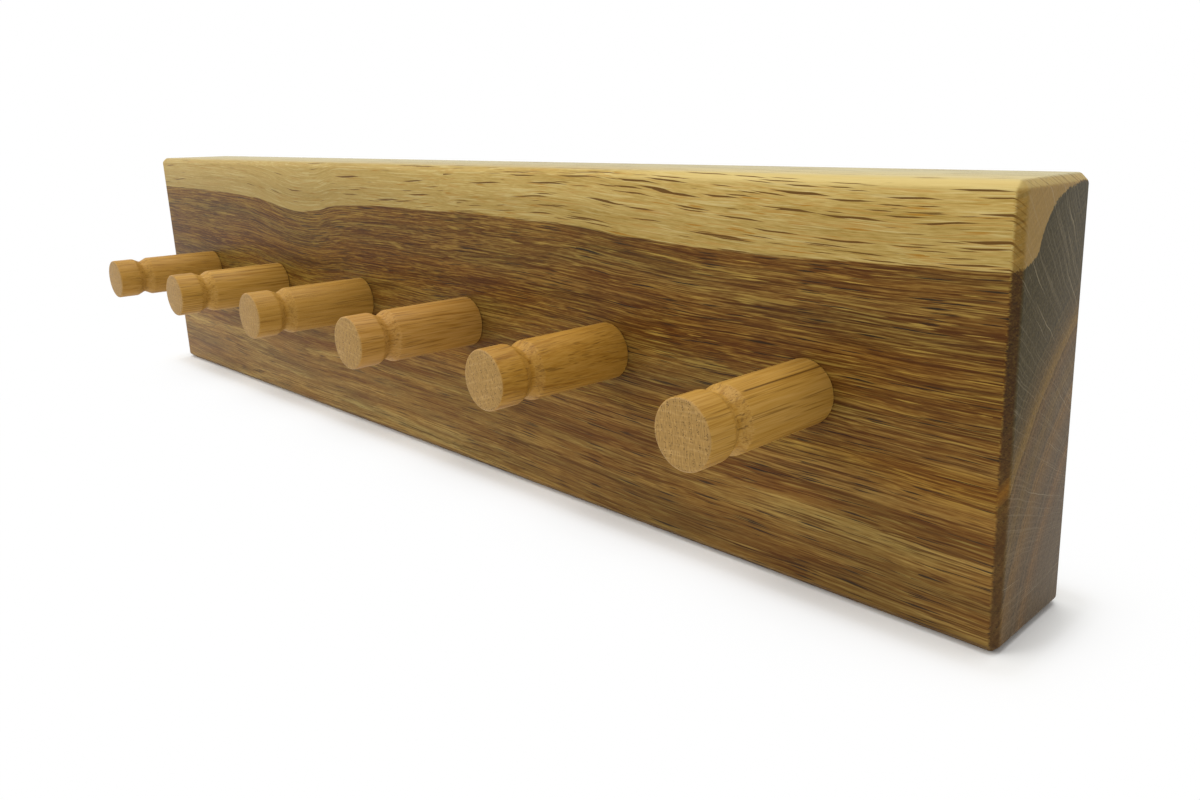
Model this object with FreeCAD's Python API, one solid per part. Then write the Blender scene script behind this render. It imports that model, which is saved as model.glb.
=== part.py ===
import FreeCAD, Part
import math
import os

from FreeCAD import Vector

# Key rack: a chamfered oak board with a row of turned oak pegs, hung on two keyhole plates let into
# its back. Millimetres, +Z up, +X to the right seen from the front. The origin is the middle of the
# back face that lies on the wall, so the board and its pegs stand towards -Y.

# Board: one plank, its long grain running sideways
board_length = 330.0
board_height = 75.0
board_thickness = 25.0
edge_chamfer = 1.4

# Pegs: one row along the board, the outer pegs a margin in from its ends
peg_count = 6
peg_end_margin = 37.5
peg_row_height = 0.0
peg_diameter = 12.0
peg_projection = 32.0
tip_round = 0.4
root_round = 0.3

# Key groove turned into each peg behind a collar at its tip
collar_length = 5.8
groove_width = 4.4
groove_depth = 1.25
groove_lip_round = 0.8
groove_root_round = 0.3

# Tenon of each peg, glued into a blind hole with the drill's own point at its bottom
tenon_diameter = 8.0
tenon_end_round = 0.8
wood_behind_hole = 9.5
glue_gap = 0.05
glue_well = 0.3
drill_point_angle = 140.0

# Keyhole plates, sunk just below the back face
plate_length = 44.0
plate_width = 16.0
plate_thickness = 1.8
plate_sink = 0.2
plate_gap = 0.1
plate_top_margin = 7.5
keyhole_entry_diameter = 9.5
keyhole_slot_width = 4.8
keyhole_travel = 10.0
head_pocket_width = 11.0
head_pocket_depth = 6.0

# Countersunk wood screws that hold the plates, two to a plate
screw_diameter = 3.0
screw_head_diameter = 5.6
screw_length = 12.0
screw_point = 3.0
screw_edge = 5.5
screw_gap = 0.05
drive_span = 2.8
drive_width = 0.6
drive_depth = 1.0

# Sizes that follow from the ones above
peg_spacing = (board_length - 2 * peg_end_margin) / (peg_count - 1)
front_y = -board_thickness
tip_y = front_y - peg_projection
peg_radius = peg_diameter / 2
hole_radius = tenon_diameter / 2 + glue_gap
hole_point = hole_radius / math.tan(math.radians(drill_point_angle / 2))
hole_depth = board_thickness - wood_behind_hole - hole_point
tenon_end_y = front_y + hole_depth - glue_well
plate_x = (peg_count / 2 - 1) * peg_spacing
plate_z = board_height / 2 - plate_top_margin - plate_length / 2
plate_back_y = -plate_sink
plate_front_y = plate_back_y - plate_thickness
entry_z = plate_z - keyhole_travel / 2
slot_end_z = plate_z + keyhole_travel / 2
screw_radius = screw_diameter / 2
screw_head_radius = screw_head_diameter / 2
screw_offset = plate_length / 2 - screw_edge
to_wall = Vector(0, 1, 0)
to_front = Vector(0, -1, 0)


def corner_arc(before, corner, after, radius):
    # Where a rounding of this radius meets the two lines of a corner, and its middle point
    to_before = (before - corner).normalize()
    to_after = (after - corner).normalize()
    half_angle = to_before.getAngle(to_after) / 2
    bisector = (to_before + to_after).normalize()
    reach = radius / math.tan(half_angle)
    middle = bisector * (radius / math.sin(half_angle) - radius)
    return corner + to_before * reach, corner + middle, corner + to_after * reach


def turned(profile, x, z):
    # A lathe-turned solid about a Y axis at x, z. The profile lists radius, y and corner rounding,
    # and starts and ends on the axis.
    points = [Vector(x + radius, y, z) for radius, y, rounding in profile]
    edges = []
    start = points[0]
    for i in range(1, len(points)):
        rounding = profile[i][2]
        if rounding > 0:
            arc_start, arc_middle, arc_end = corner_arc(points[i - 1], points[i], points[i + 1], rounding)
            edges.append(Part.makeLine(start, arc_start))
            edges.append(Part.Arc(arc_start, arc_middle, arc_end).toShape())
            start = arc_end
        else:
            edges.append(Part.makeLine(start, points[i]))
            start = points[i]
    edges.append(Part.makeLine(start, points[0]))
    face = Part.Face(Part.Wire(edges))
    return face.revolve(Vector(x, 0, z), to_wall, 360)


def routed(x, low_z, high_z, radius, back_y, depth):
    # The round-ended slot a cutter of this radius leaves between two heights, sunk from back_y
    left_low = Vector(x - radius, back_y, low_z)
    right_low = Vector(x + radius, back_y, low_z)
    right_high = Vector(x + radius, back_y, high_z)
    left_high = Vector(x - radius, back_y, high_z)
    bottom = Vector(x, back_y, low_z - radius)
    top = Vector(x, back_y, high_z + radius)
    outline = [
        Part.Arc(left_low, bottom, right_low).toShape(),
        Part.makeLine(right_low, right_high),
        Part.Arc(right_high, top, left_high).toShape(),
        Part.makeLine(left_high, left_low),
    ]
    return Part.Face(Part.Wire(outline)).extrude(to_front * depth)


def peg_positions():
    first = -(peg_count - 1) / 2 * peg_spacing
    return [first + i * peg_spacing for i in range(peg_count)]


def screw_heights():
    return {"upper": plate_z + screw_offset, "lower": plate_z - screw_offset}


def make_peg(x):
    tenon_radius = tenon_diameter / 2
    lip_front_y = tip_y + collar_length
    lip_back_y = lip_front_y + groove_width
    profile = [
        (0, tenon_end_y, 0),
        (tenon_radius, tenon_end_y, tenon_end_round),
        (tenon_radius, front_y, 0),
        (peg_radius, front_y, root_round),
        (peg_radius, lip_back_y, groove_lip_round),
        (peg_radius - groove_depth, (lip_front_y + lip_back_y) / 2, groove_root_round),
        (peg_radius, lip_front_y, groove_lip_round),
        (peg_radius, tip_y, tip_round),
        (0, tip_y, 0),
    ]
    return turned(profile, x, peg_row_height)


def peg_hole(x):
    mouth = Vector(x, front_y, peg_row_height)
    wall = Part.makeCylinder(hole_radius, hole_depth, mouth, to_wall)
    bottom = mouth + to_wall * hole_depth
    return wall.fuse(Part.makeCone(hole_radius, 0, hole_point, bottom, to_wall))


def screw_profile(gap):
    # The screw from its head's flat to its point, or the hole it sits in when a gap is given
    seat_y = plate_back_y - (screw_head_radius - screw_radius)
    point_y = plate_back_y - screw_length
    return [
        (0, plate_back_y, 0),
        (screw_head_radius + gap, plate_back_y, 0),
        (screw_radius + gap, seat_y, 0),
        (screw_radius + gap, point_y + screw_point, 0),
        (0, point_y - gap, 0),
    ]


def make_screw(x, z):
    screw = turned(screw_profile(0), x, z)
    for length_x, length_z in ((drive_span, drive_width), (drive_width, drive_span)):
        corner = Vector(x - length_x / 2, plate_back_y - drive_depth, z - length_z / 2)
        screw = screw.cut(Part.makeBox(length_x, drive_depth, length_z, corner))
    return screw


def make_plate(x):
    end_radius = plate_width / 2
    straight = (plate_length - plate_width) / 2
    plate = routed(x, plate_z - straight, plate_z + straight, end_radius, plate_back_y, plate_thickness)
    entry = Part.makeCylinder(
        keyhole_entry_diameter / 2, plate_thickness, Vector(x, plate_back_y, entry_z), to_front
    )
    slot = routed(x, entry_z, slot_end_z, keyhole_slot_width / 2, plate_back_y, plate_thickness)
    plate = plate.cut(entry.fuse(slot))
    for z in screw_heights().values():
        plate = plate.cut(turned(screw_profile(screw_gap), x, z))
    return plate


def plate_bed(x):
    # Everything routed and drilled in the board's back for one plate
    end_radius = plate_width / 2 + plate_gap
    straight = (plate_length - plate_width) / 2
    recess = routed(x, plate_z - straight, plate_z + straight, end_radius, 0, -plate_front_y)
    pocket = routed(x, entry_z, slot_end_z, head_pocket_width / 2, plate_front_y, head_pocket_depth)
    bed = recess.fuse(pocket)
    for z in screw_heights().values():
        bed = bed.fuse(turned(screw_profile(screw_gap), x, z))
    return bed


def make_board(plate_xs):
    corner = Vector(-board_length / 2, front_y, -board_height / 2)
    board = Part.makeBox(board_length, board_thickness, board_height, corner)
    board = board.makeChamfer(edge_chamfer, board.Edges)
    for x in peg_positions():
        board = board.cut(peg_hole(x))
    for x in plate_xs:
        board = board.cut(plate_bed(x))
    return board


def checked_solid(name, shape):
    solids = shape.removeSplitter().Solids
    if len(solids) != 1 or not solids[0].isValid():
        raise ValueError(name + " is not one valid solid")
    return solids[0]


plates = {"left": -plate_x, "right": plate_x}
nodes = {"backboard": make_board(plates.values())}
for number, x in enumerate(peg_positions(), 1):
    nodes["peg_%d" % number] = make_peg(x)
for side, x in plates.items():
    nodes["hanger_plate_" + side] = make_plate(x)
    for place, z in screw_heights().items():
        nodes["hanger_screw_%s_%s" % (side, place)] = make_screw(x, z)

os.makedirs("parts", exist_ok=True)
for name, shape in nodes.items():
    solid = checked_solid(name, shape)
    solid.exportStep("parts/" + name + ".step")
    print(name, "%.1f mm3" % solid.Volume)
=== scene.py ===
from functools import partial
from math import hypot, radians
from types import SimpleNamespace

import bmesh
import bpy
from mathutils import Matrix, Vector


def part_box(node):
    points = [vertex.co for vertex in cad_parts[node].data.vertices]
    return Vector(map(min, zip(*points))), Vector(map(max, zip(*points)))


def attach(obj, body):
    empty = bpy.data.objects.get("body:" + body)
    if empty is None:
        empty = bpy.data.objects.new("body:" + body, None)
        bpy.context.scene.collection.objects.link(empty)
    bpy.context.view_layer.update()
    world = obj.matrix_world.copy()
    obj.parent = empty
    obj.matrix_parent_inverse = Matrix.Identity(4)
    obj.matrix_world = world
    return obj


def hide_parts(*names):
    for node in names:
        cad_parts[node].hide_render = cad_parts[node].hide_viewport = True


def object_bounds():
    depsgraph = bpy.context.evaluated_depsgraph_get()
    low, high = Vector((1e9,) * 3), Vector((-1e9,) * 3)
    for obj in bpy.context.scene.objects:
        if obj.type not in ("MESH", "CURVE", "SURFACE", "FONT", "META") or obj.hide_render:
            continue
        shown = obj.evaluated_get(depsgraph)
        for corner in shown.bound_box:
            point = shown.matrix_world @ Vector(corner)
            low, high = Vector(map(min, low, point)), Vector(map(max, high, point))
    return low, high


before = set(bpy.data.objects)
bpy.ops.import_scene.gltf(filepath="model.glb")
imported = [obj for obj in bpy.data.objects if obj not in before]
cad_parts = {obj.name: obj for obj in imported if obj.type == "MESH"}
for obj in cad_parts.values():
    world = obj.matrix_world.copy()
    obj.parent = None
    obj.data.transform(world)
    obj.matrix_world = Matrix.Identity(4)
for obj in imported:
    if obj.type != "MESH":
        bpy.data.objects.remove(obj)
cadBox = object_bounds()
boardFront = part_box("backboard")[0].y
bpy.ops.object.select_all(action="DESELECT")
print("frame loaded:", len(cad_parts), "nodes")

mm = .001  # the scene is in metres, the sizes of wood and steel below are in mm
noiseMiddle = .5  # a noise wavers about this value


def linearColor(hexCode):
    channels = [int(hexCode[i:i + 2], 16) / 255 for i in (1, 3, 5)]
    return [c / 12.92 if c <= 0.04045 else ((c + 0.055) / 1.055) ** 2.4 for c in channels] + [1]


def addNode(tree, kind, inputs=(), output=None, stops=(), points=(), **settings):
    # inputs by socket name or in order: a value, or the socket that feeds it; gives back the wanted output
    node = tree.nodes.new("ShaderNode" + kind)
    for name, value in settings.items():
        setattr(node, name, value)
    wanted = inputs if isinstance(inputs, dict) else dict(enumerate(inputs))
    for key, value in wanted.items():
        named = [s for s in node.inputs if s.name == key and s.enabled]
        socket = named[0] if named else node.inputs[key]
        if isinstance(value, bpy.types.NodeSocket):
            tree.links.new(value, socket)
        else:
            socket.default_value = value
    for i, (place, color) in enumerate(stops):  # ramps and curves start with two points
        element = node.color_ramp.elements[i] if i < 2 else node.color_ramp.elements.new(place)
        element.position, element.color = place, linearColor(color)
    for i, (place, height) in enumerate(points):
        if i < 2:
            node.mapping.curves[0].points[i].location = place, height
        else:
            node.mapping.curves[0].points.new(place, height)
    if points:
        node.mapping.update()
    return next((s for s in node.outputs if s.enabled and output in (None, s.name)), None)


def fromTo(start, end, low=0, high=1):
    # the four settings that turn start to end into low to high
    return {"From Min": start, "From Max": end, "To Min": low, "To Max": high}


def newMaterial(name):
    material = bpy.data.materials.new(name)
    material.use_nodes = True
    material.node_tree.nodes.clear()
    return material


# Oiled brown oak, planed and sanded: fine strokes of open vessels, dark ray dashes and a pale sapwood
# edge under satin oil. Lengths and places in mm.
boardOak = {
    "pith": (0, 36, -46),  # middle of the growth rings, behind and below the board
    "ringWidth": 2.0,
    "wander": [  # waves of the grain: their size and how far they push it
        ((120, 55, 55), 5.0), ((30, 6, 6), 1.1), ((11, 2, 2), .32)],
    "lean": .018,  # strokes fall this much to the right
    "streaks": {  # size along and across the grain, detail and roughness of each noise
        "broad": (80, 3.0, 1, .5), "fibre": (32, .8, 2, .6), "vessels": (23, .38, 1, .5),
        "sheen": (21, .36, 1, .5), "lines": (60, .42, 1, .5), "hair": (18, .25, 1, .5),
        "grit": (2.4, .22, 1, .6), "hue": (45, 4.0, 1, .5)},
    "streakStep": (7.3, 0, 3.1),  # moves each noise away from the one before
    "strokeSize": (11.5, .38),  # room for one short dash
    "toneShare": {"broad": .4, "fibre": .4, "rings": .2},
    "ripple": {"rings": .3, "grit": .5, "hair": .85},

    "edgeDip": [  # how the sapwood edge and the grain under it rise and fall, left to right
        (0, .775), (1, .4), (.19, .69), (.255, .5), (.303, .29), (.327, .25), (.355, .31), (.379, .475),
        (.41, .59), (.5, .65), (.58, .66), (.66, .625), (.71, .525), (.76, .375), (.83, .29), (.91, .31)],
    "dipRange": 8.0,  # for the whole height of that curve
    "dipBehind": .8,  # the even drop of the edge away from the front
    "edgeRise": [  # depth behind the front and height of the sapwood edge there
        (0, 25.1), (25, 37.4), (3, 26.0), (5.5, 27.0), (7, 29.8), (9, 32.3),
        (11, 34.4), (15, 36.0), (19, 36.8)],
    "edgeScale": (25.0, 40.0),  # lowest and highest place on that curve
    "edgeRagged": {"fibre": 1.1, "hair": .7},

    "heartwood": [(.28, "#573718"), (.5, "#71532a"), (.72, "#907645")],
    "heartLayers": [  # mask, its share, what steers it and its colour
        ("sheen", .5, "calm", "#a68f52"), ("lines", .7, "even", "#46290f"),
        ("vessels", .5, "strong", "#482913"),
        ("goldDash", .7, "calm", "#a68f52"), ("darkDash", .7, "strong", "#30261f")],
    "hueTint": [(.36, "#f4f9f2"), (.5, "#fffdf2"), (.66, "#fff7e2")],  # olive to russet
    "ringTint": [
        (.0, "#f1efef"), (.3, "#f0eee6"), (.385, "#fffaea"), (.43, "#eae0cf"), (.475, "#fff8c9"),
        (.52, "#dad0c0"), (.57, "#e8e4ce"), (.66, "#dbd0ac"), (.74, "#d0bd97"), (.79, "#d3c5a9"),
        (.87, "#d5ceba"), (.95, "#dfd6ba"), (1, "#d9ccb4")],
    "ringLight": 1.3,  # strength of those tints
    "lowPale": (.34, .49, .63),  # paler and yellower towards the low left: red, green, blue
    "goldenTint": "#fbffee",  # high on the left
    "sapwood": [(.3, "#957937"), (.5, "#ae9454"), (.7, "#c2ac6d")],
    "sapContrast": .72,
    "sapLayers": [
        ("goldDash", 1, "lively", "#9c7026"), ("hair", .7, "lively", "#9c7026"),
        ("sheen", .4, "even", "#c9b880")],
    "paleSapAndTopLight": "#c8b272", "topFaceSapAndTopLight": "#aba37e",  # pale outer sapwood under the bark, mixed with painted light from above along the top edge and on the top face

    "rayCentre": (6, -19),  # from the pith: the trunk grew out of round, so its rays meet elsewhere
    "rayLength": 12.5, "rayWidth": .34, "rayDepth": 24.0,
    "rayReach": 90.0,  # from where the rays meet to the front, turns their width into an angle
    "rayFall": -.0001, "rayStagger": .37,  # dashes fall to the right, and no two rows start alike
    "heartRays": .25,  # share of cells with a ray in the dark wood, sapRays below is the sapwood's
    "rayCover": .95, "sapRay": "#5c3d16", "heartRay": "#1f1916",

    "cutRings": [
        (.0, "#4a3622"), (.4, "#4a351d"), (.455, "#543c1e"), (.475, "#80561e"), (.5, "#4a341c"),
        (.6, "#3c2a1a"), (.8, "#352617"), (1, "#3c2a17")],
    "cutSap": "#7a5b25", "cutCover": .8,
    "ringLine": {"Scale": 1.3, "Detail": 3, "Roughness": .7},
    "endRings": [
        (.0, "#5c4b34"), (.08, "#6a5030"), (.13, "#5a4a34"), (.2, "#655034"), (.25, "#6e5430"),
        (.29, "#5c4b33"), (.35, "#66512f"), (.38, "#5e4c32"), (.43, "#614b2e"), (.475, "#745a2c"),
        (.52, "#5a482a"), (.6, "#4a3f27"), (.7, "#473d25"), (1, "#423a24")],
    "endSap": "#8f7341", "endSapCalm": .75,
    "endRay": "#a39477", "endRays": .12, "endRayCover": .55, "fineRaySize": .6,

    "ranges": {  # start and end, then the values there where they aren't 0 and 1
        "dipFade": (62, 92, .15, 1), "rings": (50, 94), "flatRings": (80, 66),  # distance from the pith
        "strong": (20, 120, .86, 1.35), "lively": (-60, 110, .55, .9),  # along the board
        "left": (70, 10, .2, 1), "goldenLeft": (10, -60), "sapRight": (-30, 100, .86, 1.05),
        "paleSapAndTopLightMuch": (75, 110, 0, .8), "sapRays": (-40, 90, .1, .63),
        "topFaceSapAndTopLightMuch": (-24, -9, .3, .8), "deeper": (-22, -10),  # front to back
        "low": (-8, -28, -.3, 1), "goldenHigh": (-8, 6), "sapHigh": (29, 35.5, .9, 1.08),  # height
        "paleSapAndTopLight": (35.2, 36.6), "topFaceSapAndTopLight": (37.1, 37.45),
        "vessels": (.58, .65), "sheen": (.59, .66), "lines": (.61, .67), "hair": (.54, .66),  # noise levels
        "darkDash": (.35, .6, .12, .36), "goldDash": (.4, .65, .74, .9), "fineRays": (.54, .7, 0, .16),
        "cutTone": (.3, .7, .72, 1.28), "endTone": (.6, 1.4, .5, 1.5), "sapEdge": (.78, 1.02),
        "strokeSize": (0, 1, .32, .65), "raySize": (0, 1, .26, .7),  # sizes drawn by lot, in cells
        "strokeBody": (0, .14), "rayBody": (0, .1),
        "calm": (0, 1, 1, .5), "sapRaySize": (0, 1, .8, 1),
        "cut": (.3, .65), "end": (.75, .97), "topCut": (0, .7, 1, .55),  # a face's turn sideways or up
    },
    "dents": {"vessels": -.5, "rays": -.6},
    "bump": {"Strength": .2, "Distance": .2 * mm},
    "surface": {"Roughness": .45, "IOR": 1.5, "Specular IOR Level": .08},
}


def boardGrain(add):
    # where a point lies on the board and in the trunk, and the noises drawn out along the grain
    ranges = {name: fromTo(*limits) for name, limits in boardOak["ranges"].items()}
    oak = SimpleNamespace(ranges=ranges, field={}, masks={}, steer={"even": 1})
    fromPith = add("Mapping", {"Vector": add("TexCoord", output="Object"), "Scale": [1 / mm] * 3,
                               "Location": [-p for p in boardOak["pith"]]})
    onBoard = add("VectorMath", [fromPith, boardOak["pith"]], operation="ADD")
    oak.board = add("SeparateXYZ", [onBoard]).node.outputs

    # the grain follows the dips of the sapwood edge, less and less inwards
    left, right = [corner.x / mm for corner in cadBox]
    way = add("MapRange", {"Value": oak.board["X"], **fromTo(left, right)})
    dip = add("FloatCurve", {"Value": way}, points=boardOak["edgeDip"])
    reach = boardOak["dipRange"] / 2
    oak.dip = add("MapRange", {"Value": dip, **fromTo(0, 1, reach, -reach)})
    outward = add("VectorMath", [fromPith, (0, 1, 1)], operation="MULTIPLY")
    distance = add("VectorMath", [outward], "Value", operation="LENGTH")
    fade = add("MapRange", {"Value": distance, **ranges["dipFade"]})
    dipHere = add("Math", [oak.dip, fade], operation="MULTIPLY")
    grain = add("VectorMath", [fromPith, add("CombineXYZ", {"Z": dipHere})], operation="ADD")
    for size, push in boardOak["wander"]:
        spot = add("VectorMath", [fromPith, [1 / s for s in size]], operation="MULTIPLY")
        wave = add("TexNoise", {"Vector": spot, "Scale": 1, "Detail": 1}, "Color")
        wave = add("VectorMath", [wave, [noiseMiddle] * 3], operation="SUBTRACT")
        wave = add("VectorMath", [wave, (0, push, push)], operation="MULTIPLY")
        grain = add("VectorMath", [grain, wave], operation="ADD")

    outward = add("VectorMath", [grain, (0, 1, 1)], operation="MULTIPLY")
    oak.radius = add("VectorMath", [outward], "Value", operation="LENGTH")
    oak.ringShare = add("MapRange", {"Value": oak.radius, **ranges["rings"]})
    ringCount = add("Math", [oak.radius, 1 / boardOak["ringWidth"]], operation="MULTIPLY")
    rings = add("TexNoise", {"W": ringCount, "Scale": 1, "Detail": 2}, "Fac", noise_dimensions="1D")

    oak.flat = add("SeparateXYZ", [grain]).node.outputs
    fall = add("Math", [oak.flat["X"], boardOak["lean"]], operation="MULTIPLY")
    leaning = add("VectorMath", [grain, add("CombineXYZ", {"Z": fall})], operation="ADD")
    for i, (name, (length, width, detail, rough)) in enumerate(boardOak["streaks"].items()):
        spot = add("VectorMath", [leaning, (1 / length, 1 / width, 1 / width)], operation="MULTIPLY")
        spot = add("VectorMath", [spot, [i * step for step in boardOak["streakStep"]]], operation="ADD")
        noise = {"Vector": spot, "Scale": 1, "Detail": detail, "Roughness": rough}
        oak.field[name] = add("TexNoise", noise, "Fac")
        if name in ranges:
            oak.masks[name] = add("MapRange", {"Value": oak.field[name], **ranges[name]})
    oak.field["rings"] = rings

    # open vessels cut lengthwise: short dashes, some dark with oil and some catching the light
    length, width = boardOak["strokeSize"]
    spot = add("VectorMath", [leaning, (1 / length, 1 / width, 1 / width)], operation="MULTIPLY")
    cell = add("TexVoronoi", {"Vector": spot, "Scale": 1}, "Distance", distance="MANHATTAN")
    lot = add("SeparateColor", [cell.node.outputs["Color"]]).node.outputs
    size = add("MapRange", {"Value": lot["Green"], **ranges["strokeSize"]})
    room = add("Math", [size, cell], operation="SUBTRACT")
    body = add("MapRange", {"Value": room, **ranges["strokeBody"]})
    for name, test in (("darkDash", "LESS_THAN"), ("goldDash", "GREATER_THAN")):
        limit = add("MapRange", {"Value": rings, **ranges[name]})
        chosen = add("Math", [lot["Red"], limit], operation=test)
        oak.masks[name] = add("Math", [chosen, body], operation="MULTIPLY")
    return oak


def boardTone(add, oak):
    # how pale the wood is here, and what makes its marks stronger or weaker
    tone = 0
    for name, share in boardOak["toneShare"].items():
        tone = add("Math", [oak.field[name], share, tone], operation="MULTIPLY_ADD")
    flatRings = add("MapRange", {"Value": oak.radius, **oak.ranges["flatRings"]})  # rings lie flat low down
    calm = add("MapRange", {"Value": flatRings, **oak.ranges["calm"]})
    for name, share in boardOak["ripple"].items():
        off = add("Math", [oak.field[name], noiseMiddle], operation="SUBTRACT")
        off = add("Math", [off, share], operation="MULTIPLY")
        tone = add("Math", [off, flatRings if name == "rings" else calm, tone], operation="MULTIPLY_ADD")
    oak.tone = tone
    for name in ("strong", "lively"):
        oak.steer[name] = add("MapRange", {"Value": oak.board["X"], **oak.ranges[name]})
    calm = add("Math", [calm, calm], operation="MULTIPLY")
    oak.steer["calm"] = add("Math", [calm, oak.steer["strong"]], operation="MULTIPLY")


def layOver(add, oak, color, layers):
    for mask, share, steer, tint in layers:
        cover = add("Math", [oak.masks[mask], oak.steer[steer]], operation="MULTIPLY")
        cover = add("Math", [cover, share], operation="MULTIPLY")
        color = add("Mix", {"Factor": cover, "A": color, "B": linearColor(tint)}, data_type="RGBA")
    return color


def heartColor(add, oak):
    heart = add("ValToRGB", {"Fac": oak.tone}, stops=boardOak["heartwood"])
    heart = layOver(add, oak, heart, boardOak["heartLayers"])
    hue = add("ValToRGB", {"Fac": oak.field["hue"]}, stops=boardOak["hueTint"])
    rings = add("ValToRGB", {"Fac": oak.ringShare}, stops=boardOak["ringTint"])
    low = add("MapRange", {"Value": oak.board["Z"], **oak.ranges["low"]})
    left = add("MapRange", {"Value": oak.board["X"], **oak.ranges["left"]})
    lowLeft = add("Math", [low, left], operation="MULTIPLY")
    paler = [add("Math", [lowLeft, much, boardOak["ringLight"]], operation="MULTIPLY_ADD")
             for much in boardOak["lowPale"]]
    for tint in (hue, rings, add("CombineXYZ", paler)):
        heart = add("Mix", {"Factor": 1.0, "A": heart, "B": tint}, data_type="RGBA", blend_type="MULTIPLY")
    left = add("MapRange", {"Value": oak.board["X"], **oak.ranges["goldenLeft"]})
    high = add("MapRange", {"Value": oak.board["Z"], **oak.ranges["goldenHigh"]})
    golden = add("Math", [left, high], operation="MULTIPLY")
    return add("Mix", {"Factor": golden, "A": heart, "B": linearColor(boardOak["goldenTint"])},
               data_type="RGBA", blend_type="MULTIPLY")


def sapColor(add, oak):
    off = add("Math", [oak.tone, noiseMiddle], operation="SUBTRACT")
    contrast = add("Math", [oak.steer["lively"], boardOak["sapContrast"]], operation="MULTIPLY")
    tone = add("Math", [off, contrast, noiseMiddle], operation="MULTIPLY_ADD")
    sap = add("ValToRGB", {"Fac": tone}, stops=boardOak["sapwood"])
    sap = layOver(add, oak, sap, boardOak["sapLayers"])
    high = add("MapRange", {"Value": oak.board["Z"], **oak.ranges["sapHigh"]})
    right = add("MapRange", {"Value": oak.board["X"], **oak.ranges["sapRight"]})
    shade = add("Math", [high, right], operation="MULTIPLY")
    sap = add("Mix", {"Factor": 1.0, "A": sap, "B": shade}, data_type="RGBA", blend_type="MULTIPLY")
    # paler outer sapwood along the top edge and on the top face; part of that paleness is painted light
    # from above
    for name, axis in (("paleSapAndTopLight", "X"), ("topFaceSapAndTopLight", "Y")):
        much = add("MapRange", {"Value": oak.board[axis], **oak.ranges[name + "Much"]})
        paleAndTopLight = add("MapRange", {"Value": oak.board["Z"], **oak.ranges[name]})
        paleAndTopLight = add("Math", [paleAndTopLight, much], operation="MULTIPLY")
        sap = add("Mix", {"Factor": paleAndTopLight, "A": sap, "B": linearColor(boardOak[name])}, data_type="RGBA")
    return sap


def sapEdge(add, oak):
    # the sapwood edge dips on the front, climbs towards the back and is a little ragged along the grain
    low, high = boardOak["edgeScale"]
    thickness = -boardFront / mm
    depth = add("MapRange", {"Value": oak.board["Y"], **fromTo(-thickness, 0)})
    curve = [(deep / thickness, (height - low) / (high - low)) for deep, height in boardOak["edgeRise"]]
    rise = add("FloatCurve", {"Value": depth}, points=curve)
    edge = add("MapRange", {"Value": rise, **fromTo(0, 1, low, high)})
    deeper = add("MapRange", {"Value": oak.board["Y"], **oak.ranges["deeper"]})
    dip = add("Mix", {"Factor": deeper, "A": oak.dip, "B": boardOak["dipBehind"]})
    above = add("Math", [oak.board["Z"], dip], operation="ADD")
    above = add("Math", [above, edge], operation="SUBTRACT")
    for name, much in boardOak["edgeRagged"].items():
        above = add("Math", [oak.field[name], much, above], operation="MULTIPLY_ADD")
    return add("MapRange", {"Value": above, **oak.ranges["sapEdge"]})


def rayDashes(add, oak, wood):
    # rays are thin radial sheets, which show as dark tapered dashes on the long faces
    rayY, rayZ = boardOak["rayCentre"]
    up = add("Math", [oak.flat["Z"], rayZ], operation="ADD")
    back = add("Math", [oak.flat["Y"], rayY], operation="ADD")
    angle = add("Math", [up, back], operation="ARCTAN2")
    angle = add("Math", [oak.flat["X"], boardOak["rayFall"], angle], operation="MULTIPLY_ADD")
    oak.turn = add("Math", [angle, boardOak["rayReach"] / boardOak["rayWidth"]], operation="MULTIPLY")
    oak.radial = add("Math", [oak.radius, 1 / boardOak["rayDepth"]], operation="MULTIPLY")
    along = add("Math", [oak.flat["X"], 1 / boardOak["rayLength"]], operation="MULTIPLY")
    along = add("Math", [oak.turn, boardOak["rayStagger"], along], operation="MULTIPLY_ADD")
    spot = add("CombineXYZ", [along, oak.turn, oak.radial])
    cell = add("TexVoronoi", {"Vector": spot, "Scale": 1}, "Distance", distance="MANHATTAN")
    lot = add("SeparateColor", [cell.node.outputs["Color"]]).node.outputs
    size = add("MapRange", {"Value": lot["Green"], **oak.ranges["raySize"]})
    smaller = add("MapRange", {"Value": oak.sapMask, **oak.ranges["sapRaySize"]})
    size = add("Math", [size, smaller], operation="MULTIPLY")
    room = add("Math", [size, cell], operation="SUBTRACT")
    oak.rayLot, oak.rayBody = lot["Red"], add("MapRange", {"Value": room, **oak.ranges["rayBody"]})
    sapLimit = add("MapRange", {"Value": oak.board["X"], **oak.ranges["sapRays"]})
    limit = add("Mix", {"Factor": oak.sapMask, "A": boardOak["heartRays"], "B": sapLimit})
    chosen = add("Math", [oak.rayLot, limit], operation="LESS_THAN")
    oak.masks["rays"] = add("Math", [chosen, oak.rayBody], operation="MULTIPLY")
    cover = add("Math", [oak.masks["rays"], boardOak["rayCover"]], operation="MULTIPLY")
    dark, pale = linearColor(boardOak["heartRay"]), linearColor(boardOak["sapRay"])
    color = add("Mix", {"Factor": oak.sapMask, "A": dark, "B": pale}, data_type="RGBA")
    return add("Mix", {"Factor": cover, "A": wood, "B": color}, data_type="RGBA")


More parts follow.
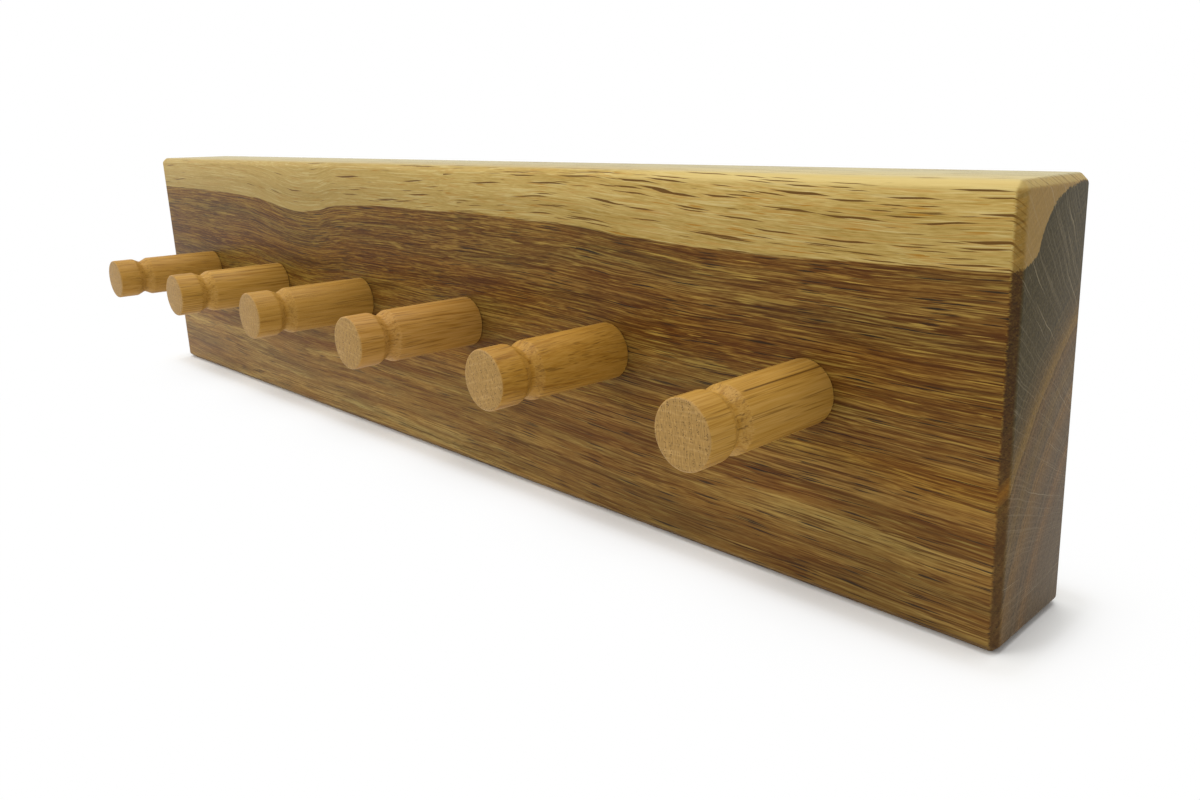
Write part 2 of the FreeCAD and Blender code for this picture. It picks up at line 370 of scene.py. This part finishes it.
def cutAcross(add, oak, wood):
    # cut across the fibres the wood drinks more oil: the arrises at the ends go darker, less so on top
    normal = add("SeparateXYZ", [add("TexCoord", output="Normal")]).node.outputs
    facing = add("Math", [normal["X"]], operation="ABSOLUTE")
    cut = add("MapRange", {"Value": facing, **oak.ranges["cut"]})
    onTop = add("MapRange", {"Value": normal["Z"], **oak.ranges["topCut"]})
    cut = add("Math", [cut, onTop], operation="MULTIPLY")
    heart = add("ValToRGB", {"Fac": oak.ringShare}, stops=boardOak["cutRings"])
    sap = linearColor(boardOak["cutSap"])
    dark = add("Mix", {"Factor": oak.sapMask, "A": heart, "B": sap}, data_type="RGBA")
    ringLine = add("TexNoise", {"W": oak.radius, **boardOak["ringLine"]}, "Fac", noise_dimensions="1D")
    tone = add("MapRange", {"Value": ringLine, **oak.ranges["cutTone"]})
    dark = add("Mix", {"Factor": 1.0, "A": dark, "B": tone}, data_type="RGBA", blend_type="MULTIPLY")
    dark = add("Mix", {"Factor": boardOak["cutCover"], "A": wood, "B": dark}, data_type="RGBA")
    wood = add("Mix", {"Factor": cut, "A": wood, "B": dark}, data_type="RGBA")

    # the sawn ends show rings, specks of open vessels and pale rays
    heart = add("ValToRGB", {"Fac": oak.ringShare}, stops=boardOak["endRings"])
    sap = linearColor(boardOak["endSap"])
    end = add("Mix", {"Factor": oak.sapMask, "A": heart, "B": sap}, data_type="RGBA")
    speck = add("Math", [oak.field["vessels"], ringLine], operation="ADD")
    tone = add("MapRange", {"Value": speck, **oak.ranges["endTone"]})
    calm = add("Math", [oak.sapMask, boardOak["endSapCalm"]], operation="MULTIPLY")
    tone = add("Mix", {"Factor": calm, "A": tone, "B": 1.0})
    end = add("Mix", {"Factor": 1.0, "A": end, "B": tone}, data_type="RGBA", blend_type="MULTIPLY")
    fineTurn = add("Math", [oak.turn, boardOak["fineRaySize"]], operation="MULTIPLY")
    fineSpot = add("CombineXYZ", {"X": fineTurn, "Y": oak.radial})
    fine = add("TexNoise", {"Vector": fineSpot, "Scale": 1, "Detail": 1}, "Fac")
    fine = add("MapRange", {"Value": fine, **oak.ranges["fineRays"]})
    wide = add("Math", [oak.rayLot, boardOak["endRays"]], operation="LESS_THAN")
    wide = add("Math", [wide, oak.rayBody], operation="MULTIPLY")
    wide = add("Math", [wide, boardOak["endRayCover"]], operation="MULTIPLY")
    for ray in (fine, wide):
        end = add("Mix", {"Factor": ray, "A": end, "B": linearColor(boardOak["endRay"])}, data_type="RGBA")
    endHere = add("MapRange", {"Value": facing, **oak.ranges["end"]})
    return add("Mix", {"Factor": endHere, "A": wood, "B": end}, data_type="RGBA")


def makeBoardOak():
    material = newMaterial("oiledBrownOak")
    add = partial(addNode, material.node_tree)
    oak = boardGrain(add)
    boardTone(add, oak)
    oak.sapMask = sapEdge(add, oak)
    heart, sap = heartColor(add, oak), sapColor(add, oak)
    wood = add("Mix", {"Factor": oak.sapMask, "A": heart, "B": sap}, data_type="RGBA")
    wood = rayDashes(add, oak, wood)
    wood = cutAcross(add, oak, wood)
    height = oak.field["fibre"]
    for name, dent in boardOak["dents"].items():
        height = add("Math", [oak.masks[name], dent, height], operation="MULTIPLY_ADD")
    bump = add("Bump", {"Height": height, **boardOak["bump"]})
    shader = add("BsdfPrincipled", {"Base Color": wood, "Normal": bump, **boardOak["surface"]})
    add("OutputMaterial", {"Surface": shader})
    return material


# Honey oak turned on a lathe, grain along the peg: fine streaks on the sides, rows of open pores on the
# tip. Lengths and places in mm.
pegOak = {
    "spacing": 51.0, "ends": 2.5,  # the outer pegs stand this many spacings from the middle
    "pith": 48.0,  # middle of the growth rings, to the left of a peg
    "ringWidth": 1.5, "ringScale": 1.6,
    "stick": 400.0,  # each peg is cut from somewhere along this length
    "twist": .35,  # radians, the most that a stick is turned
    "slope": .09, "slopeMiddle": -41.0,  # how far the grain runs out of line, from the stem's middle
    "streaks": {  # size across and along the grain, detail and roughness of each noise
        "fibre": (.7, 26, 3, .6), "hair": (.22, 9, 1, .5), "lines": (.45, 30, 2, .6)},
    "toneShare": {"fibre": .6, "rings": .4},
    "hairShare": .5,
    "wood": [(.28, "#966a23"), (.5, "#b0853a"), (.72, "#bc924b")],
    "stickTint": [  # left to right, each peg comes from its own stick
        (0, "#fbf9f5"), (.2, "#ffffff"), (.4, "#f8f6f0"), (.6, "#fbf6ff"), (.8, "#f3ecd4"), (1, "#f8f8f8")],
    "line": "#5e3d13",
    "pore": "#52330f", "poreSize": (.3, 12.0), "poreFew": .55, "poreCover": .36,  # size across and along
    "endGrain": "#98763f", "endPore": "#523717", "endPoreCover": .85,
    "endRay": "#ac8a53", "endRaySize": (6.0, .5), "endGritSize": (.26, 1.2),
    # painted highlight: a pale ring on the rounded rim of the tip
    "rimHighlight": "#bb9560", "rimHighlightCover": .18,
    "check": (3.15, .2),  # drying crack on top of the last peg: place right of its middle, half width
    "checkCover": .85,
    "checkEnds": {"X": (100, 101), "Z": (3, 3.1), "Y": (-46.6, -45.5)},  # where it fades in
    "ranges": {  # start and end, then the values there where they aren't 0 and 1
        "lines": (.58, .67, 0, .52), "poreBody": (.42, .24), "earlyWood": (.7, .45),
        "endRays": (.52, .66, 0, .5), "endTone": (.25, .75, .74, 1.26),
        "end": (.38, .85), "rimHighlightOuter": (.985, .9), "rimHighlightInner": (.5, .62),  # a face's turn to the front
    },
    "poreDent": -.8,
    "bump": {"Strength": .25, "Distance": .2 * mm},
    "surface": {"Roughness": .48, "IOR": 1.5, "Specular IOR Level": .15},
}


def makePegOak():
    material = newMaterial("oiledHoneyOak")
    add = partial(addNode, material.node_tree)
    ranges = {name: fromTo(*limits) for name, limits in pegOak["ranges"].items()}
    inMm = add("Mapping", {"Vector": add("TexCoord", output="Object"), "Scale": [1 / mm] * 3})
    row = add("SeparateXYZ", [inMm]).node.outputs

    # each peg lies somewhere else in its own stick
    half = pegOak["spacing"] / 2
    fromFirst = add("Math", [row["X"], half], operation="SUBTRACT")
    local = add("Math", [fromFirst, half, -half], operation="WRAP")
    pegCentre = add("Math", [row["X"], local], operation="SUBTRACT")
    number = add("Math", [pegCentre], operation="ROUND")
    chance = add("TexWhiteNoise", {"W": number}, "Value", noise_dimensions="1D")
    twist = add("MapRange", {"Value": chance, **fromTo(0, 1, -pegOak["twist"], pegOak["twist"])})
    deep = add("Math", [chance, pegOak["stick"], row["Y"]], operation="MULTIPLY_ADD")
    stick = add("CombineXYZ", [local, deep, row["Z"]])
    stick = add("VectorRotate", {"Vector": stick, "Axis": (0, 1, 0), "Angle": twist},
                rotation_type="AXIS_ANGLE")
    slope = add("MapRange", {"Value": chance, **fromTo(0, 1, -pegOak["slope"], pegOak["slope"])})
    runOut = add("Math", [row["Y"], -pegOak["slopeMiddle"]], operation="ADD")
    runOut = add("Math", [runOut, slope], operation="MULTIPLY")
    stick = add("VectorMath", [stick, add("CombineXYZ", {"X": runOut})], operation="ADD")
    flat = add("SeparateXYZ", [stick]).node.outputs
    fromPith = add("VectorMath", [stick, (pegOak["pith"], 0, 0)], operation="ADD")
    outward = add("VectorMath", [fromPith, (1, 0, 1)], operation="MULTIPLY")
    radius = add("VectorMath", [outward], "Value", operation="LENGTH")
    ringCount = add("Math", [radius, 1 / pegOak["ringWidth"]], operation="MULTIPLY")
    ringNoise = {"W": ringCount, "Scale": pegOak["ringScale"], "Detail": 2}
    field = {"rings": add("TexNoise", ringNoise, "Fac", noise_dimensions="1D")}
    for name, (width, length, detail, rough) in pegOak["streaks"].items():
        spot = add("VectorMath", [stick, (1 / width, 1 / length, 1 / width)], operation="MULTIPLY")
        noise = {"Vector": spot, "Scale": 1, "Detail": detail, "Roughness": rough}
        field[name] = add("TexNoise", noise, "Fac")

    # streaks, thin dark lines and pores along the sides
    tone = 0
    for name, share in pegOak["toneShare"].items():
        tone = add("Math", [field[name], share, tone], operation="MULTIPLY_ADD")
    off = add("Math", [field["hair"], noiseMiddle], operation="SUBTRACT")
    tone = add("Math", [off, pegOak["hairShare"], tone], operation="MULTIPLY_ADD")
    wood = add("ValToRGB", {"Fac": tone}, stops=pegOak["wood"])
    line = add("MapRange", {"Value": field["lines"], **ranges["lines"]})
    wood = add("Mix", {"Factor": line, "A": wood, "B": linearColor(pegOak["line"])}, data_type="RGBA")
    width, length = pegOak["poreSize"]
    spot = add("VectorMath", [stick, (1 / width, 1 / length, 1 / width)], operation="MULTIPLY")
    cell = add("TexVoronoi", {"Vector": spot, "Scale": 1}, "Distance")
    lot = add("SeparateColor", [cell.node.outputs["Color"]], "Red")
    pore = add("MapRange", {"Value": cell, **ranges["poreBody"]})
    ringPhase = add("Math", [ringCount], operation="FRACT")
    early = add("MapRange", {"Value": ringPhase, **ranges["earlyWood"]})
    few = add("Math", [lot, pegOak["poreFew"]], operation="LESS_THAN")
    for share in (early, few):
        pore = add("Math", [pore, share], operation="MULTIPLY")
    cover = add("Math", [pore, pegOak["poreCover"]], operation="MULTIPLY")
    wood = add("Mix", {"Factor": cover, "A": wood, "B": linearColor(pegOak["pore"])}, data_type="RGBA")
    last = pegOak["ends"] * pegOak["spacing"]
    way = add("MapRange", {"Value": pegCentre, **fromTo(-last, last)})
    tint = add("ValToRGB", {"Fac": way}, stops=pegOak["stickTint"])
    wood = add("Mix", {"Factor": 1.0, "A": wood, "B": tint}, data_type="RGBA", blend_type="MULTIPLY")

    # the tip is end grain: pores in rows and pale rays across them, and a painted highlight on its rounded
    # rim
    width, length = pegOak["endRaySize"]
    raySpot = add("CombineXYZ", {"X": add("Math", [flat["X"], 1 / width], operation="MULTIPLY"),
                                 "Y": add("Math", [flat["Z"], 1 / length], operation="MULTIPLY")})
    ray = add("TexNoise", {"Vector": raySpot, "Scale": 1, "Detail": 1}, "Fac")
    ray = add("MapRange", {"Value": ray, **ranges["endRays"]})
    endGrain, endRay = linearColor(pegOak["endGrain"]), linearColor(pegOak["endRay"])
    tip = add("Mix", {"Factor": ray, "A": endGrain, "B": endRay}, data_type="RGBA")
    cover = add("Math", [pore, pegOak["endPoreCover"]], operation="MULTIPLY")
    tip = add("Mix", {"Factor": cover, "A": tip, "B": linearColor(pegOak["endPore"])}, data_type="RGBA")
    width, length = pegOak["endGritSize"]
    gritSpot = add("VectorMath", [stick, (1 / width, 0, 1 / length)], operation="MULTIPLY")
    grit = add("TexNoise", {"Vector": gritSpot, "Scale": 1, "Detail": 1}, "Fac")
    grit = add("MapRange", {"Value": grit, **ranges["endTone"]})
    tip = add("Mix", {"Factor": 1.0, "A": tip, "B": grit}, data_type="RGBA", blend_type="MULTIPLY")
    facing = add("SeparateXYZ", [add("TexCoord", output="Normal")], "Y")
    facing = add("Math", [facing], operation="ABSOLUTE")
    end = add("MapRange", {"Value": facing, **ranges["end"]})
    wood = add("Mix", {"Factor": end, "A": wood, "B": tip}, data_type="RGBA")
    # painted highlight on the rounded rim, between the flat tip and the side
    rimHighlight = pegOak["rimHighlightCover"]
    for name in ("rimHighlightOuter", "rimHighlightInner"):
        rimHighlight = add("Math", [add("MapRange", {"Value": facing, **ranges[name]}), rimHighlight], operation="MULTIPLY")
    wood = add("Mix", {"Factor": rimHighlight, "A": wood, "B": linearColor(pegOak["rimHighlight"])}, data_type="RGBA")

    checkX, halfWidth = pegOak["check"]
    aside = add("Math", [local, checkX], operation="SUBTRACT")
    aside = add("Math", [aside], operation="ABSOLUTE")
    check = add("MapRange", {"Value": aside, **fromTo(halfWidth, halfWidth / 3, 0, pegOak["checkCover"])})
    for axis, limits in pegOak["checkEnds"].items():
        within = add("MapRange", {"Value": row[axis], **fromTo(*limits)})
        check = add("Math", [check, within], operation="MULTIPLY")
    wood = add("Mix", {"Factor": check, "A": wood, "B": linearColor(pegOak["pore"])}, data_type="RGBA")
    height = add("Math", [pore, pegOak["poreDent"], field["fibre"]], operation="MULTIPLY_ADD")
    bump = add("Bump", {"Height": height, **pegOak["bump"]})
    shader = add("BsdfPrincipled", {"Base Color": wood, "Normal": bump, **pegOak["surface"]})
    add("OutputMaterial", {"Surface": shader})
    return material


# Zinc-plated steel, pressed or turned: cool grey with cloudy bright patches.
zincSteel = {
    "color": [(.3, "#9a9da0"), (.7, "#c3c6c9")],
    "cloud": 6.0,  # mm
    "roughness": (.28, .45),
}


def makeZincSteel():
    material = newMaterial("zincPlatedSteel")
    add = partial(addNode, material.node_tree)
    place = add("TexCoord", output="Object")
    cloud = add("TexNoise", {"Vector": place, "Scale": 1 / (zincSteel["cloud"] * mm), "Detail": 3}, "Fac")
    color = add("ValToRGB", {"Fac": cloud}, stops=zincSteel["color"])
    rough = add("MapRange", {"Value": cloud, **fromTo(0, 1, *zincSteel["roughness"])})
    shader = add("BsdfPrincipled", {"Base Color": color, "Metallic": 1.0, "Roughness": rough})
    add("OutputMaterial", {"Surface": shader})
    return material


boardMaterial, pegMaterial, steelMaterial = makeBoardOak(), makePegOak(), makeZincSteel()
print("materials made")

meshSet = {
    "near": .01, "samePoint": .002, "merge": .004,  # mm
    "roundSteps": 6,
    "smoothAngle": 32,  # degrees
}


def pickEdges(test):
    # in edit mode: selects the edges whose two ends pass the test, places in mm
    bpy.ops.mesh.select_mode(type="EDGE")
    bpy.ops.mesh.select_all(action="DESELECT")
    mesh = bpy.context.object.data
    shape = bmesh.from_edit_mesh(mesh)
    for edge in shape.edges:
        edge.select_set(all(test(v.co / mm) for v in edge.verts))
    bmesh.update_edit_mesh(mesh)


def modify(piece, kind, **settings):
    modifier = piece.modifiers.new(kind.lower(), kind)
    for name, value in settings.items():
        setattr(modifier, name, value)
    bpy.context.view_layer.objects.active = piece
    bpy.ops.object.modifier_apply(modifier=modifier.name)


def cutAway(piece, tool):
    modify(piece, "BOOLEAN", object=tool, operation="DIFFERENCE", solver="EXACT")
    bpy.data.objects.remove(tool)


def turnOnLathe(stations, sides, x=0, z=0):
    # a solid about a Y axis, from (radius, y, edge rounding): a disc drawn out from station to station
    (radius, y, _), rest = stations[0], stations[1:]
    bpy.ops.mesh.primitive_circle_add(vertices=sides, radius=radius * mm, fill_type="NGON",
                                      location=(0, y * mm, 0), rotation=(radians(90), 0, 0))
    bpy.ops.object.transform_apply()
    bpy.ops.object.mode_set(mode="EDIT")
    bpy.ops.mesh.select_all(action="SELECT")
    for nextRadius, nextY, _ in rest:
        bpy.ops.mesh.extrude_region_move(TRANSFORM_OT_translate={"value": (0, (nextY - y) * mm, 0)})
        grow = nextRadius / radius
        bpy.ops.transform.resize(value=(grow, 1, grow), center_override=(0, nextY * mm, 0))
        radius, y = nextRadius, nextY
    bpy.ops.mesh.select_all(action="SELECT")
    bpy.ops.mesh.normals_make_consistent(inside=False)
    near = meshSet["near"]
    for ringRadius, ringY, bevel in stations:
        if bevel:
            pickEdges(lambda co: abs(co.y - ringY) < near and abs(hypot(co.x, co.z) - ringRadius) < near)
            bpy.ops.mesh.bevel(offset=bevel * mm, segments=meshSet["roundSteps"], affect="EDGES")
    bpy.ops.mesh.select_all(action="SELECT")
    bpy.ops.mesh.remove_doubles(threshold=meshSet["samePoint"] * mm)
    bpy.ops.transform.translate(value=(x * mm, 0, z * mm))
    bpy.ops.object.mode_set(mode="OBJECT")
    return bpy.context.object


def roundEnded(x, lowZ, highZ, radius, backY, depth, sides):
    # a bar with round ends, standing upright: a disc pulled apart at its middle
    bpy.ops.mesh.primitive_cylinder_add(vertices=sides, radius=radius * mm, depth=depth * mm,
                                        rotation=(radians(90), radians(180 / sides), 0))
    bpy.ops.object.transform_apply()
    bpy.ops.object.mode_set(mode="EDIT")
    bpy.ops.mesh.select_all(action="SELECT")
    bpy.ops.transform.translate(value=(x * mm, (backY - depth / 2) * mm, lowZ * mm))
    pickEdges(lambda co: co.z > lowZ)
    bpy.ops.transform.translate(value=(0, 0, (highZ - lowZ) * mm))
    bpy.ops.object.mode_set(mode="OBJECT")
    return bpy.context.object


def finishPiece(piece, name, node, material):
    piece.name = piece.data.name = name
    piece.data.materials.clear()
    piece.data.materials.append(material)
    bpy.ops.object.select_all(action="DESELECT")
    piece.select_set(True)
    bpy.context.view_layer.objects.active = piece
    bpy.ops.object.mode_set(mode="EDIT")
    bpy.ops.mesh.select_all(action="SELECT")
    bpy.ops.mesh.remove_doubles(threshold=meshSet["merge"] * mm)
    bpy.ops.mesh.dissolve_degenerate(threshold=meshSet["samePoint"] * mm)
    bpy.ops.object.mode_set(mode="OBJECT")
    bpy.ops.object.shade_smooth_by_angle(angle=radians(meshSet["smoothAngle"]))
    piece.select_set(False)
    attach(piece, "root")
    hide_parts(node)


# Turned peg with its tenon, from the bottom of the hole to the tip: radius, y and edge bevel in mm.
peg = {
    "sides": 72,
    "places": [-127.5, -76.5, -25.5, 25.5, 76.5, 127.5],
    "stations": [
        (4, -11.274, .8), (4, -25, 0), (6, -25, .3),  # tenon and shoulder
        (6, -46.8, .295), (4.85, -49, .627), (6, -51.2, .295), (6, -57, .5)],  # groove and tip
}


def makePegs():
    first = turnOnLathe(peg["stations"], peg["sides"])
    for number, x in enumerate(peg["places"], 1):
        bpy.ops.object.select_all(action="DESELECT")
        first.select_set(True)
        bpy.context.view_layer.objects.active = first
        bpy.ops.object.duplicate()
        piece = bpy.context.object
        piece.location.x = x * mm
        bpy.ops.object.transform_apply()
        finishPiece(piece, "turnedPeg%d" % number, "peg_%d" % number, pegMaterial)
    bpy.data.objects.remove(first)
    print("pegs turned:", len(peg["places"]))


# Keyhole plates on the back and the wood screws that hold them, in mm.
plate = {
    "sides": 48,
    "places": {"left": -102.0, "right": 102.0},
    "bar": (-6.0, 22.0, 8.0),  # lower and upper centre of the round ends, their radius
    "back": -.2, "thickness": 1.8,
    "entry": (3.0, 4.75), "slot": (3.0, 13.0, 2.4),  # height and radius, then the slot above it
    "cutter": (1, -3),  # from behind the plate to its far side
    "eased": .18, "easedSteps": 2, "easedAngle": 60,  # degrees
}
screw = {
    "sides": 40,
    "heights": {"upper": 24.5, "lower": -8.5},
    "stations": [(2.8, -.2, 0), (1.5, -1.5, 0), (1.5, -9.2, 0), (.06, -12.2, 0)],
    "hole": [(2.85, 0, 0), (2.85, -.2, 0), (1.55, -1.5, 0), (1.55, -9.2, 0), (.06, -12.25, 0)],
    "cross": (2.8, .6, 1.0),  # span, width and depth
}
# Plank: every edge chamfered and the arrises rubbed down, holes drilled for the pegs and beds cut for the
# plates, in mm.
plank = {
    "size": (330.0, 25.0, 75.0), "chamfer": 1.4,
    "arris": .35, "arrisSteps": 3, "arrisAngle": 20,  # degrees
    "hole": [(4.05, -25.5, 0), (4.05, -10.974, 0), (.06, -9.5, 0)], "holeSides": 64,
    "bedRadius": 8.1, "bedDepth": 2.0, "pocketRadius": 5.5, "pocketDepth": 6.0,
    "overcut": .5,
}


def makePlank():
    middleY = -plank["size"][1] / 2
    bpy.ops.mesh.primitive_cube_add(size=mm, location=(0, middleY * mm, 0), scale=plank["size"])
    piece = bpy.context.object
    bpy.ops.object.transform_apply()
    bpy.ops.object.mode_set(mode="EDIT")
    bpy.ops.mesh.select_all(action="SELECT")
    bpy.ops.mesh.bevel(offset=plank["chamfer"] * mm, segments=1, affect="EDGES")
    bpy.ops.object.mode_set(mode="OBJECT")
    modify(piece, "BEVEL", width=plank["arris"] * mm, segments=plank["arrisSteps"],
           limit_method="ANGLE", angle_limit=radians(plank["arrisAngle"]))
    for x in peg["places"]:
        cutAway(piece, turnOnLathe(plank["hole"], plank["holeSides"], x))
    bedDepth = plank["bedDepth"] + plank["overcut"]
    pocketDepth = bedDepth + plank["pocketDepth"]
    cuts = (("bar", plank["bedRadius"], bedDepth), ("slot", plank["pocketRadius"], pocketDepth))
    for x in plate["places"].values():
        for name, radius, depth in cuts:
            low, high, _ = plate[name]
            cutAway(piece, roundEnded(x, low, high, radius, plank["overcut"], depth, plate["sides"]))
        for z in screw["heights"].values():
            cutAway(piece, turnOnLathe(screw["hole"], screw["sides"], x, z))
    finishPiece(piece, "oakPlank", "backboard", boardMaterial)
    print("plank cut and drilled")


def makePlate(side, x):
    low, high, radius = plate["bar"]
    piece = roundEnded(x, low, high, radius, plate["back"], plate["thickness"], plate["sides"])
    modify(piece, "BEVEL", width=plate["eased"] * mm, segments=plate["easedSteps"],
           limit_method="ANGLE", angle_limit=radians(plate["easedAngle"]))
    entryZ, entryRadius = plate["entry"]
    slotLow, slotHigh, slotRadius = plate["slot"]
    start, end = plate["cutter"]
    cutAway(piece, turnOnLathe([(entryRadius, start, 0), (entryRadius, end, 0)], plate["sides"], x, entryZ))
    cutAway(piece, roundEnded(x, slotLow, slotHigh, slotRadius, start, start - end, plate["sides"]))
    for z in screw["heights"].values():
        cutAway(piece, turnOnLathe(screw["hole"], screw["sides"], x, z))
    finishPiece(piece, "keyholePlate" + side.title(), "hanger_plate_" + side, steelMaterial)


def makeScrew(side, place, x, z):
    piece = turnOnLathe(screw["stations"], screw["sides"], x, z)
    span, width, deep = screw["cross"]
    for sizeX, sizeZ in ((span, width), (width, span)):
        bpy.ops.mesh.primitive_cube_add(size=mm, location=(x * mm, plate["back"] * mm, z * mm),
                                        scale=(sizeX, deep * 2, sizeZ))  # half of it stands out
        tool = bpy.context.object
        bpy.ops.object.transform_apply()
        cutAway(piece, tool)
    finishPiece(piece, "woodScrew" + side.title() + place.title(), "hanger_screw_%s_%s" % (side, place),
                steelMaterial)


makePegs()
makePlank()
for side, x in plate["places"].items():
    makePlate(side, x)
    for place, z in screw["heights"].items():
        makeScrew(side, place, x, z)
print("plates and screws made")


# Pale floor under the standing rack, in metres. Away from the rack it turns plain white for the camera.
floorSet = {
    "size": 6.0, "color": "#f0f0ee",
    "whiteReach": .2,  # from the rack's foot to plain white
    "white": [  # share of that way, share of white
        (0, .0), (1, 1), (.012, .06), (.03, .5), (.06, .87), (.11, .98), (.4, .995)],
}


def seenDirectly(add):
    # 1 for what the camera sees, also in a mirror or through glass
    rays = add("LightPath").node.outputs
    seen = add("Math", [rays["Is Camera Ray"], rays["Is Glossy Ray"]], operation="MAXIMUM")
    return add("Math", [seen, rays["Is Transmission Ray"]], operation="MAXIMUM")


def makeFloor():
    bpy.ops.mesh.primitive_plane_add(size=floorSet["size"], location=(0, 0, cadBox[0].z))
    floor = bpy.context.object
    floor.name = "floor"
    material = newMaterial("paleFloor")
    add = partial(addNode, material.node_tree)
    place = add("TexCoord", output="Object")
    halfLength, halfDepth = cadBox[1].x, -boardFront / 2
    fromMiddle = add("VectorMath", [place, (0, halfDepth, 0)], operation="ADD")
    fromMiddle = add("VectorMath", [fromMiddle], operation="ABSOLUTE")
    aside = add("VectorMath", [fromMiddle, (halfLength, halfDepth, 0)], operation="SUBTRACT")
    aside = add("VectorMath", [aside, (0, 0, 0)], operation="MAXIMUM")
    distance = add("VectorMath", [aside], "Value", operation="LENGTH")
    way = add("MapRange", {"Value": distance, **fromTo(0, floorSet["whiteReach"])})
    whiter = add("FloatCurve", {"Value": way}, points=floorSet["white"])
    share = add("Math", [whiter, seenDirectly(add)], operation="MULTIPLY")
    matt = add("BsdfDiffuse", {"Color": linearColor(floorSet["color"])})
    white = add("Emission", {"Color": linearColor("#ffffff"), "Strength": 1.0})
    add("OutputMaterial", {"Surface": add("MixShader", [share, matt, white])})
    floor.data.materials.append(material)


# Soft studio light, in metres and watts: a large key from the left front, one overhead, and an even room.
lightSet = {
    "lamps": {
        "keySoftbox": {"place": (-.75, -1.0, .85), "size": 1.1, "watts": 9.5},
        "overheadSoftbox": {"place": (0, .1, 1.3), "size": 1.2, "watts": 12.0}},
    "roomLevel": .62,
}


def makeLight():
    for name, box in lightSet["lamps"].items():
        bpy.ops.object.light_add(type="AREA", location=box["place"])
        lamp = bpy.context.object
        lamp.name = name
        lamp.data.shape = "DISK"
        lamp.data.size = box["size"]
        lamp.data.energy = box["watts"]
        lamp.rotation_euler = (-lamp.location).to_track_quat("-Z", "Y").to_euler()
    world = bpy.context.scene.world or bpy.data.worlds.new("studio")
    bpy.context.scene.world = world
    world.use_nodes = True
    world.node_tree.nodes.clear()
    add = partial(addNode, world.node_tree)
    level = add("MapRange", {"Value": seenDirectly(add), **fromTo(0, 1, lightSet["roomLevel"], 1)})
    add("OutputWorld", {"Surface": add("Background", {"Color": linearColor("#ffffff"), "Strength": level})})


# Camera at the eye of the picture: close to the right end, a little above the top edge.
cameraSet = {
    "place": (.22307, -.15755, .04575),  # metres
    "angles": (76.324, 1.019, 42.770),  # degrees
    "lens": 28.735, "sensor": 36.0,
    "shift": (-.0736, -.0345),
    "clipStart": .005,
}


def makeCamera():
    turn = [radians(angle) for angle in cameraSet["angles"]]
    bpy.ops.object.camera_add(location=cameraSet["place"], rotation=turn)
    camera = bpy.context.object
    camera.data.sensor_width = cameraSet["sensor"]
    camera.data.lens = cameraSet["lens"]
    camera.data.shift_x, camera.data.shift_y = cameraSet["shift"]
    camera.data.clip_start = cameraSet["clipStart"]
    bpy.context.scene.camera = camera


makeFloor()
makeLight()
makeCamera()
bpy.context.scene.view_settings.view_transform = "Standard"
print("floor, light and camera set")
